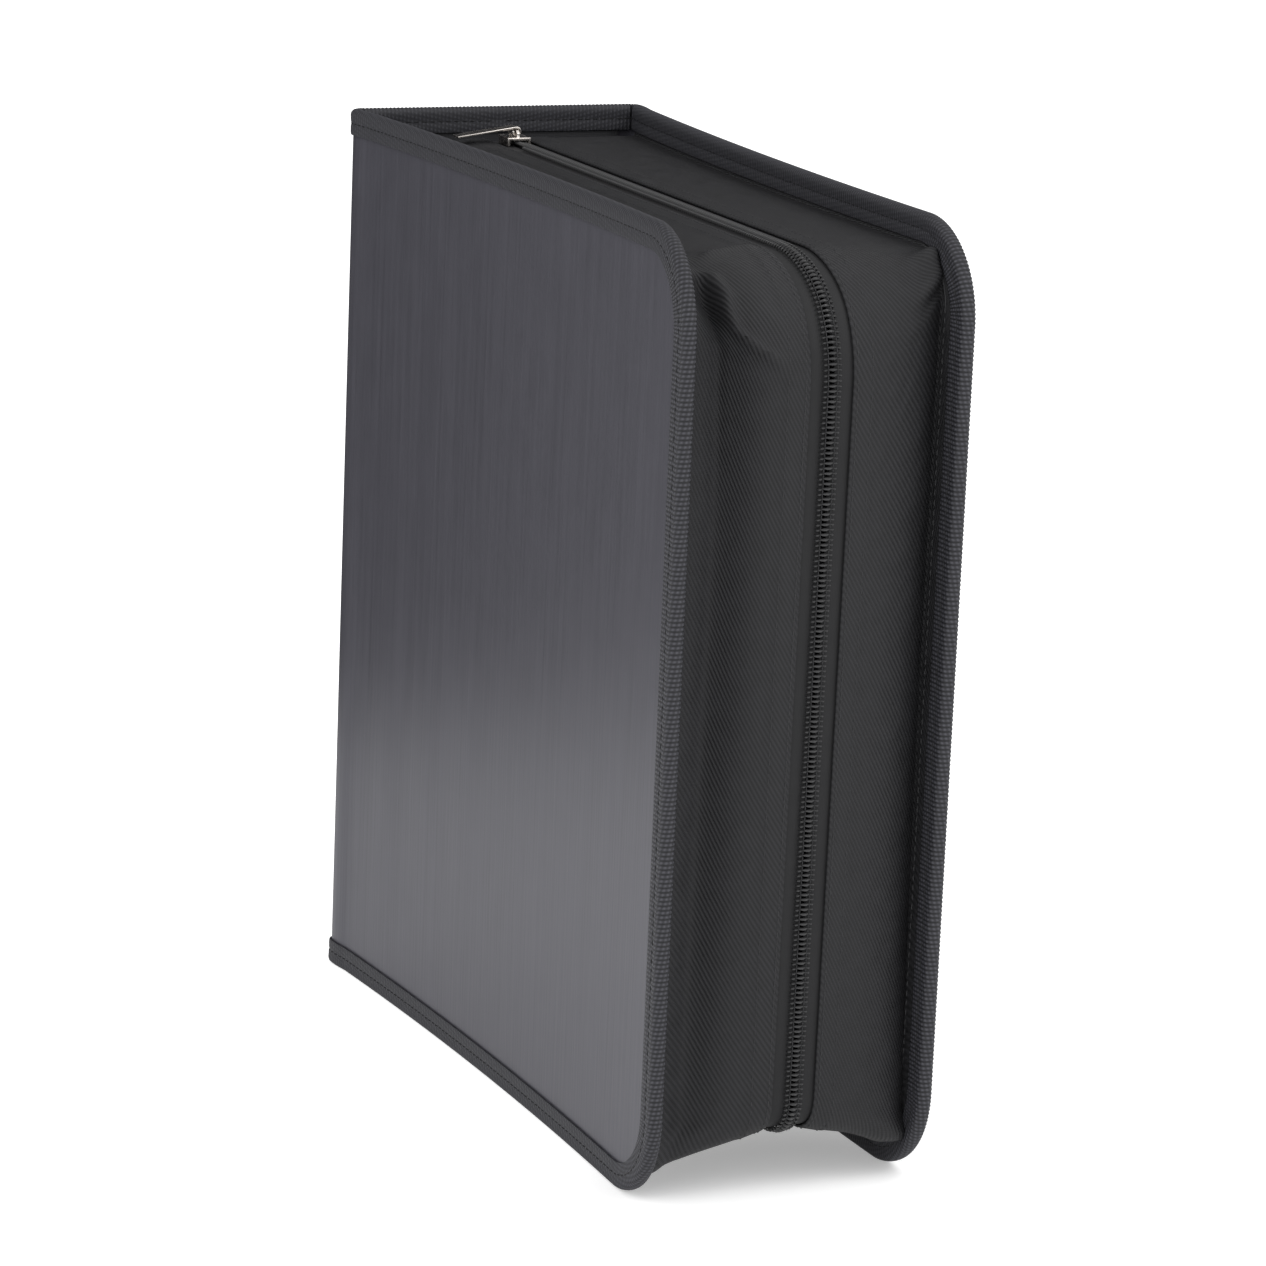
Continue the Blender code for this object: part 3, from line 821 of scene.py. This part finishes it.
def slack(turn, share, side):
    """Broad unevenness of hand-turned cloth."""
    across = np.sin(np.pi * np.clip(share, 0, 1))[:, None]
    long_wave = np.sin(2.1 * turn + 1.3 * side) + 0.6 * np.sin(5.3 * turn + 2.2 + side)
    tilt = np.sin(3.0 * turn - 4.0 * share[:, None] + 0.7 * side)
    return across * SLACK * (long_wave + tilt)


def crease(turn, share, path, width, height):
    """Ridge of the cloth along a path of (turn, share) points."""
    rail = gusset_spec(0.6, -1)
    along = distance_at(rail, turn)[None]
    across = share[:, None] * GUSSET_WIDTH
    knots = [(float(distance_at(rail, a)), b * GUSSET_WIDTH) for a, b in path]
    nearest = 1.0
    for (a0, b0), (a1, b1) in zip(knots[:-1], knots[1:]):
        length = math.hypot(a1 - a0, b1 - b0)
        step_a = (a1 - a0) / length
        step_b = (b1 - b0) / length
        run = np.clip((along - a0) * step_a + (across - b0) * step_b, 0, length)
        gap = np.hypot(along - a0 - run * step_a, across - b0 - run * step_b)
        nearest = np.minimum(nearest, gap)
    for a, b in (knots[0], knots[-1]):
        height = height * step_between(-0.002, 0.007, np.hypot(along - a, across - b))
    return height * np.exp(-(nearest / width) ** 2)


FRONT_RIDGES = (
    (((1.16, 0.28), (1.10, 0.45), (1.07, 0.62), (1.05, 0.80), (1.04, 0.96)), 0.0020, 0.0016),
    (((1.30, 0.22), (1.36, 0.34), (1.50, 0.40), (1.66, 0.40), (1.78, 0.44), (1.84, 0.56),
      (1.88, 0.70), (1.93, 0.86)), 0.0021, 0.0023),
    (((1.55, 0.62), (1.66, 0.74), (1.80, 0.84)), 0.0024, 0.0005),
)
POCKET_DEPTH = 0.0034
POCKET_EDGE_TURNS = (1.25, 1.36, 1.50, 1.66, 1.80, 2.00, 2.20)
POCKET_EDGE_SHARES = (0.26, 0.34, 0.38, 0.38, 0.37, 0.38, 0.42)


def front_wrinkles(turn, share):
    """The folds of the front gusset below its upper corner, with the pocket beside them."""
    height = sum(crease(turn, share, *ridge) for ridge in FRONT_RIDGES)
    edge = np.interp(turn, POCKET_EDGE_TURNS, POCKET_EDGE_SHARES)[None]
    window = step_between(1.28, 1.46, turn) * (1 - step_between(1.72, 2.25, turn))
    inside = 1 - step_between(edge - 0.16, edge - 0.01, share[:, None])
    return height - POCKET_DEPTH * window[None] * inside


def back_tuck(turn, share):
    """Stiff end of the back gusset that stands out at the upper corner of the cover."""
    away = np.hypot((turn - 1.45) / 0.22, (share[:, None] - 0.05) / 0.13)
    return TUCK_RISE * np.exp(-away ** 2)


def gusset(label, side, material, thread):
    """Twill strip from the cover's lining out to the zip, hemmed beside the tape."""
    rail = gusset_spec(0.6, side)
    length = rail_lengths(*rail).sum()
    distance = np.linspace(0, length, GUSSET_COLUMNS)
    turn = turn_at(rail, distance)
    grid, share = gusset_middle(side, turn)
    height = gather(turn, share, side) + slack(turn, share, side) + foot_corner(turn, share)
    if side < 0:
        height += bank_and_valley(turn, share) + front_wrinkles(turn, share)
    else:
        height += back_tuck(turn, share)
    height *= (step_between(-0.05, 0.04, share) * (1 - step_between(0.86, 1.0, share)))[:, None]
    grid = grid + outward_normals(grid) * height[..., None]
    normal = outward_normals(grid)
    widths = np.linalg.norm(np.diff(grid, axis=0), axis=-1).mean(axis=1)
    across = np.concatenate([[0.0], np.cumsum(widths)])
    from_zip = across[-1] - across
    thickness = CLOTH + (HEM - CLOTH) * (1 - step_between(HEM_WIDTH - 0.0006, HEM_WIDTH, from_zip))
    half = normal * (thickness / 2)[:, None, None]
    outer = grid + half
    inward = unit(grid[-1] - grid[-2])
    nose = [grid[-1] + (normal[-1] * math.sin(turned) + inward * math.cos(turned)) * HEM / 2
            for turned in np.radians((60, 20, -20, -60))]
    section = np.concatenate([outer, np.array(nose), (grid - half)[::-1]])
    places = np.concatenate([across, np.full(4, across[-1]), across[::-1]])
    flat = joined(distance[None], side * places[:, None])
    piece = tube_piece(f"{label}_gusset_cloth", section, flat, material, f"{label}_cover")
    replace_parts(piece, f"{label}_gusset")
    sew_gusset(label, outer, from_zip, distance, thread)


def sew_gusset(label, outer, from_zip, distance, thread):
    """Topstitching beside the zip, and the seam that holds the cloth to the cover."""
    rows = (("zip", 0.0013, 0.0024, 0.0018, 0.00017),
            ("hem", HEM_WIDTH - 0.0012, SEAM_PITCH, 0.0016, 0.00012),
            ("cover", from_zip[0] - 0.0022, SEAM_PITCH, SEAM_STITCH, 0.00018))
    grids = (outer, unit(np.gradient(outer, axis=1)), outward_normals(outer))
    for name, inset, pitch, length, radius in rows:
        row = int(np.argmin(np.abs(from_zip - inset)))
        spots = np.arange(0.003, distance[-1] - 0.003, pitch)
        place, along, out = (joined(*(np.interp(spots, distance, grid[row, :, k]) for k in range(3)))
                             for grid in grids)
        stitches(f"{label}_gusset_seam_{name}", place, unit(out), unit(along), thread,
                 f"{label}_cover", length, radius)


def zip_tape(label, side, material):
    """Woven tape on one side of the zip."""
    rail = zip_rail(0.0)
    length = rail_lengths(*rail).sum()
    distance = np.linspace(0, length, 420)
    turn = turn_at(rail, distance)
    reach = np.linspace(TAPE_EDGE, TAPE_EDGE + TAPE_WIDTH, 9)[:, None]
    grids = []
    for lift in (TAPE / 2, -TAPE / 2):
        x, z, _, _ = rail_at(*zip_rail(lift), turn[None])
        grids.append(joined(x, side * reach + sway(turn)[None], z))
    flat = joined(distance[None], side * reach)
    piece = sheet_piece(f"{label}_tape", *grids, flat, material, f"{label}_cover", "tape")
    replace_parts(piece, f"{label}_zip_tape")


def zip_frame(distance, reach, lift):
    """Points beside and above the zip's middle, with the outward and forward directions there."""
    rail = zip_rail(0.0)
    turn = turn_at(rail, distance)
    x, z, out_x, out_z = rail_at(*rail, turn)
    height = TAPE / 2 + lift
    return (joined(x + out_x * height, reach + sway(turn), z + out_z * height),
            joined(out_x, 0.0, out_z), joined(out_z, 0.0, -out_x))


def zip_coil(label, side, first, material, thread):
    """Nylon teeth of one side, each a bent rod, with the cord that sews them down."""
    length = rail_lengths(*zip_rail(0.0)).sum()
    begin = first - GUSSET_X
    offset = 0.0 if side > 0 else TOOTH_PITCH / 2
    spots = np.arange(begin + offset + 0.0006, length - 0.001, TOOTH_PITCH)
    head_lift, head_half = (1.74, 0.52) if side < 0 else (1.50, 0.38)
    profile = np.array([(2.56, 0.42), (2.76, 0.80), (2.70, 1.24), (2.34, 1.46), (1.90, 1.20),
                        (1.50, 1.08), (1.10, 1.34), (0.40, head_lift), (-0.35, head_lift - 0.06),
                        (-0.78, 1.20), (-0.50, 0.80)]) * 0.001
    lean = np.array([0.30, 0.28, 0.22, 0.15, 0.08, 0.0, -0.03, -0.03, 0.0, 0.0, 0.0]) * 0.001
    radii = np.array([(0.30, 0.30), (0.33, 0.33), (0.36, 0.34), (0.38, 0.34), (0.26, 0.28),
                      (0.24, 0.26), (0.36, 0.34), (head_half, 0.48), (head_half, 0.48),
                      (0.40, 0.40), (0.28, 0.26)]) * 0.001
    paths = np.stack([zip_frame(spots + shift, side * reach, lift)[0]
                      for (reach, lift), shift in zip(profile, lean)], axis=1)
    axes = np.repeat(zip_frame(spots, 0.0, 0.0)[2][:, None], len(profile), axis=1)
    piece = rod_piece(f"{label}_teeth", paths, axes, radii, TOOTH_SIDES, material, f"{label}_cover")
    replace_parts(piece, f"{label}_zip_coil")
    place, outward, along = zip_frame(spots[:-1] + TOOTH_PITCH / 2, side * 0.00158, 0.00148)
    stitches(f"{label}_teeth_seam", place, outward, along, thread, f"{label}_cover",
             TOOTH_PITCH * 0.9, 0.00016)


def bevelled_copy(node, name, material, body, width, segments):
    """A metal node's own shape with its edges rounded."""
    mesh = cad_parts[node].data.copy()
    mesh.name = name
    shape = bmesh.new()
    shape.from_mesh(mesh)
    bmesh.ops.remove_doubles(shape, verts=shape.verts, dist=WELD_DISTANCE)
    bmesh.ops.dissolve_limit(shape, angle_limit=math.radians(METAL_FLAT_DEG), verts=shape.verts,
                             edges=shape.edges)
    sharp = [edge for edge in shape.edges if len(edge.link_faces) == 2
             and edge.calc_face_angle(0.0) > math.radians(METAL_EDGE_DEG)]
    bmesh.ops.bevel(shape, geom=sharp, offset=width, segments=segments, affect="EDGES",
                    clamp_overlap=True, profile=0.5)
    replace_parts(smooth_piece(name, mesh, shape, material, body, METAL_SMOOTH_DEG), node)


def soft_board(label, side, material):
    """Cloth-covered board of a cover: thin, with rounded edges and a slight puff."""
    low_x = SPINE_X + LINING_START
    inset = SHEET_INSET + 0.0004
    radius = CORNER_RADIUS - inset
    end = WIDTH / 2 - inset
    corner_x = end - radius
    x = np.concatenate([np.linspace(low_x, corner_x, BOARD_STEPS)[:-1],
                        corner_x + radius * np.sin(np.radians(np.linspace(0, 90, 13)))])
    low = inset + edge_drop(x, corner_x, radius)
    z = low + (HEIGHT - 2 * low) * np.linspace(0, 1, BOARD_STEPS)[:, None]
    away = np.minimum(np.minimum(x - low_x, end - x), np.minimum(z - low, HEIGHT - low - z))
    rim = 0.0004 * np.exp(-np.maximum(away, 0) / 0.0006)
    outer, inner = (joined(x, side * (half_depth(x) - depth), z)
                    for depth in (LINING_DEPTH + rim, LINING_DEPTH + LINING - rim))
    piece = sheet_piece(f"{label}_lining_cloth", outer, inner, joined(x, z), material,
                        f"{label}_cover", "lining")
    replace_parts(piece, f"{label}_cover_lining")


def soft_block(name, node, material, width):
    """A spine node's box as a sheet of cloth with rounded edges."""
    low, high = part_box(node)
    shape = bmesh.new()
    bmesh.ops.create_cube(shape, size=1.0)
    for vertex in shape.verts:
        vertex.co = [low[k] + (high[k] - low[k]) * (vertex.co[k] + 0.5) for k in range(3)]
    bmesh.ops.bevel(shape, geom=list(shape.edges), offset=width, segments=3, affect="EDGES", profile=0.5)
    mesh = bpy.data.meshes.new(name)
    piece = smooth_piece(name, mesh, shape, material, "spine")
    layer = mesh.uv_layers.new(name=UV_NAME)
    for loop in mesh.loops:
        place = mesh.vertices[loop.vertex_index].co
        layer.data[loop.index].uv = (place.x + place.y, place.z)
    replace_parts(piece, node)


def page_outline(low_x, high_x, low_z, high_z):
    """Outline of one sleeve leaf, rounded at the fore-edge."""
    points = [(low_x, low_z)]
    for centre_z, first in ((low_z + PAGE_ROUND, -90), (high_z - PAGE_ROUND, 0)):
        for step in range(5):
            angle = math.radians(first + 90 * step / 4)
            points.append((high_x - PAGE_ROUND + PAGE_ROUND * math.cos(angle),
                           centre_z + PAGE_ROUND * math.sin(angle)))
    points.append((low_x, high_z))
    return np.array(points)


def sleeves(material):
    """Stack of thin disc sleeves, bound at the spine and a little uneven at the fore-edge."""
    low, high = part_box("sleeve_pages")
    high = high - Vector((LEAF_TRIM, 0, LEAF_TRIM))
    inner = COVER_DEPTH + PAGE_CLEARANCE
    random = np.random.default_rng(11)
    points = []
    faces = []
    caps = []
    for page in range(PAGE_COUNT):
        line = page_outline(low.x, high.x - random.uniform(0, 0.0012),
                            low.z + random.uniform(0, 0.0006), high.z - random.uniform(0, 0.0006))
        half_at = half_depth(line[:, 0]) - inner
        ring = len(points) + np.arange(len(line))
        following = np.roll(ring, -1)
        for thickness_share in (-PAGE_FILL, PAGE_FILL):
            y = half_at * (2 * (page + 0.5 + thickness_share) / PAGE_COUNT - 1)
            points += joined(line[:, 0], y, line[:, 1]).tolist()
        faces += joined(ring, following, following + len(line), ring + len(line)).tolist()
        caps += [ring.tolist(), (ring + len(line)).tolist()]
    piece = make_piece("sleeve_leaves", points, faces, material, "spine", caps)
    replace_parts(piece, "sleeve_pages")
    pockets(low, high, inner, material)


def pockets(low, high, inner, material):
    """Welded film pockets, two by two, on the outermost leaves."""
    x = np.linspace(low.x + 2 * POCKET_MARGIN, high.x - POCKET_MARGIN, 53)
    z = np.linspace(low.z + POCKET_MARGIN, high.z - POCKET_MARGIN, 53)[:, None]
    bulge = np.abs(np.sin(2 * np.pi * np.linspace(0, 1, 53))) ** 0.3
    film = 0.0004 + 0.0010 * bulge[None] * bulge[:, None]
    for label, side in (("front", -1), ("back", 1)):
        base = side * (half_depth(x) - inner)
        outer, under = (joined(x, base + side * lift, z) for lift in (film, 0 * film))
        sheet_piece(f"{label}_pockets", outer, under, outer[..., [0, 2]], material, "spine", "sleeve")


def across_fold(piece, side):
    """Bake a piece's placement into its mesh. The points on either side of the fold are found but not
    used.
    """
    start = folded(np.array(FOLD_TO + 0.002), 0.001, 0.0, side)
    end = folded(np.array(FOLD_FROM - 0.002), 0.001, 0.0, side)
    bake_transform(piece)


def make_floor():
    """Pale floor that shows white to the camera and keeps the soft shadow under the gusset."""
    mesh = bpy.data.meshes.new("floor")
    mesh.from_pydata([(FLOOR_REACH * x, FLOOR_REACH * y, 0)
                      for x, y in ((-1, -1), (1, -1), (1, 1), (-1, 1))], [], [(0, 1, 2, 3)])
    add_object("floor", mesh)
    material = bpy.data.materials.new("studio_floor")
    material.use_nodes = True
    mesh.materials.append(material)
    graph = Graph(material.node_tree)
    graph.tree.nodes.clear()
    place = graph.node("TexCoord").outputs["Object"]
    # Painted light: the floor glows more away from the gusset, washing out the case's shadow there, and
    # less near it, where the shadow is kept.
    away = graph.node("VectorMath", place, operation="DISTANCE")
    away.inputs[1].default_value = SHADOW_CENTRE
    level = graph.ranged(away.outputs["Value"], FLOOR_GLOW_NEAR, FLOOR_GLOW_FAR, SHADOW_FROM,
                         SHADOW_TO, "SMOOTHSTEP")
    glow = graph.node("Emission", color=(1, 1, 1, 1))
    graph.link(graph.math("MULTIPLY", graph.seen_ray(), level), glow.inputs["Strength"])
    diffuse = graph.node("BsdfDiffuse", color=FLOOR_COLOUR)
    total = graph.node("AddShader", diffuse.outputs[0])
    graph.link(glow.outputs[0], total.inputs[1])
    graph.node("OutputMaterial", total.outputs[0])


def make_world():
    """White surroundings for what is seen, a softer level for what lights the case."""
    world = bpy.data.worlds.new("studio")
    world.use_nodes = True
    bpy.context.scene.world = world
    graph = Graph(world.node_tree)
    graph.tree.nodes.clear()
    background = graph.node("Background", color=(1, 1, 1, 1))
    graph.link(graph.ranged(graph.seen_ray(), WORLD_STRENGTH, 1.0), background.inputs["Strength"])
    graph.node("OutputWorld", background.outputs[0])


def make_lamp(name, place, power):
    """Square soft lamp pointing at the middle of the case."""
    light = bpy.data.lights.new(name, "AREA")
    light.shape = "SQUARE"
    light.size = LAMP_SIZE
    light.energy = power
    lamp = add_object(name, light)
    lamp.location = place
    lamp.rotation_mode = "QUATERNION"
    lamp.rotation_quaternion = (Vector(LAMP_AIM) - Vector(place)).to_track_quat("-Z", "Y")


def make_camera():
    """Camera at the photograph's viewing angle."""
    azimuth, elevation, roll, yaw, pitch = (math.radians(value) for value in (
        VIEW_AZIMUTH, VIEW_ELEVATION, VIEW_ROLL, VIEW_YAW, VIEW_PITCH))
    back = Vector((math.sin(azimuth) * math.cos(elevation), -math.cos(azimuth) * math.cos(elevation),
                   math.sin(elevation)))
    level_right = (-back).cross(Vector((0, 0, 1))).normalized()
    level_up = level_right.cross(-back)
    right = math.cos(roll) * level_right + math.sin(roll) * level_up
    up = math.cos(roll) * level_up - math.sin(roll) * level_right
    aim = (-back * math.cos(yaw) * math.cos(pitch) + right * math.sin(yaw) * math.cos(pitch)
           + up * math.sin(pitch)).normalized()
    right = (right - aim * right.dot(aim)).normalized()
    lens = bpy.data.cameras.new("photo_camera")
    lens.lens = VIEW_LENS
    lens.sensor_width = 36.0
    lens.clip_start = 0.05
    lens.clip_end = 50.0
    camera = add_object("photo_camera", lens)
    pose = Matrix((right, right.cross(aim), -aim)).transposed().to_4x4()
    pose.translation = Vector((0, 0, HEIGHT / 2)) + back * VIEW_DISTANCE
    camera.matrix_world = pose
    bpy.context.scene.camera = camera


def make_card():
    """Dark card that only mirror-like surfaces see, as studios stand beside glossy things.

    It darkens the upper part of the front cover, where the photograph shows no pale floor.
    """
    low_edge, high_edge, near_end, far_end = CARD_EDGES
    away = Vector((-0.918, -0.397, 0.0))
    sideways = Vector((0.397, -0.918, 0.0))
    corners = [away * CARD_DISTANCE + sideways * reach + Vector((0, 0, height))
               for reach, height in ((near_end, low_edge), (far_end, low_edge),
                                     (far_end, high_edge), (near_end, high_edge))]
    mesh = bpy.data.meshes.new("dark_card")
    mesh.from_pydata(corners, [], [(0, 1, 2, 3)])
    mesh.materials.append(Look("card_paper", CARD_COLOUR, 0.9, specular=0.0).material)
    card = add_object("dark_card", mesh)
    card.visible_camera = False
    card.visible_diffuse = False
    card.visible_shadow = False
    card.visible_transmission = False


def make_studio():
    """Camera, floor, surroundings and lamps."""
    make_camera()
    make_floor()
    make_world()
    make_lamp("key", (1.1, 0.8, 1.7), 15.0)
    make_lamp("fill", (0.5, -1.5, 1.2), 9.0)
    make_card()
    bpy.context.scene.view_settings.view_transform = "Standard"


def main():
    """Dress the whole case."""
    make_studio()
    shell_material = shell_look()
    ribbon_material = ribbon_look()
    twill_material = twill_look()
    tape_material = tape_look()
    coil_material = coil_look()
    thread_material = thread_look("sewing_thread", THREAD_COLOUR)
    dark_thread = thread_look("binding_thread", DARK_THREAD_COLOUR)
    lining_material = lining_look()
    metal_material = metal_look()
    for label, side in (("front", -1), ("back", 1)):
        across_fold(shell(label, side, shell_material), side)
        ribbon, seams = binding(label, side, ribbon_material, dark_thread)
        across_fold(ribbon, side)
        for seam in seams:
            across_fold(seam, side)
        gusset(label, side, twill_material, thread_material)
        zip_tape(label, side, tape_material)
        soft_board(label, side, lining_material)
    coil_start = SLIDER_X + SLIDER_LENGTH / 2 + COIL_GAP
    zip_coil("front", -1, coil_start, coil_material, thread_material)
    zip_coil("back", 1, GUSSET_X, coil_material, thread_material)
    bevelled_copy("zip_slider", "slider_body", metal_material, "slider", 0.00016, 3)
    bevelled_copy("zip_pull", "slider_pull", metal_material, "pull", 0.00012, 2)
    soft_block("spine_board", "spine_lining", lining_material, 0.0004)
    soft_block("page_binding", "page_strip", lining_material, 0.0005)
    sleeves(film_look())


main()
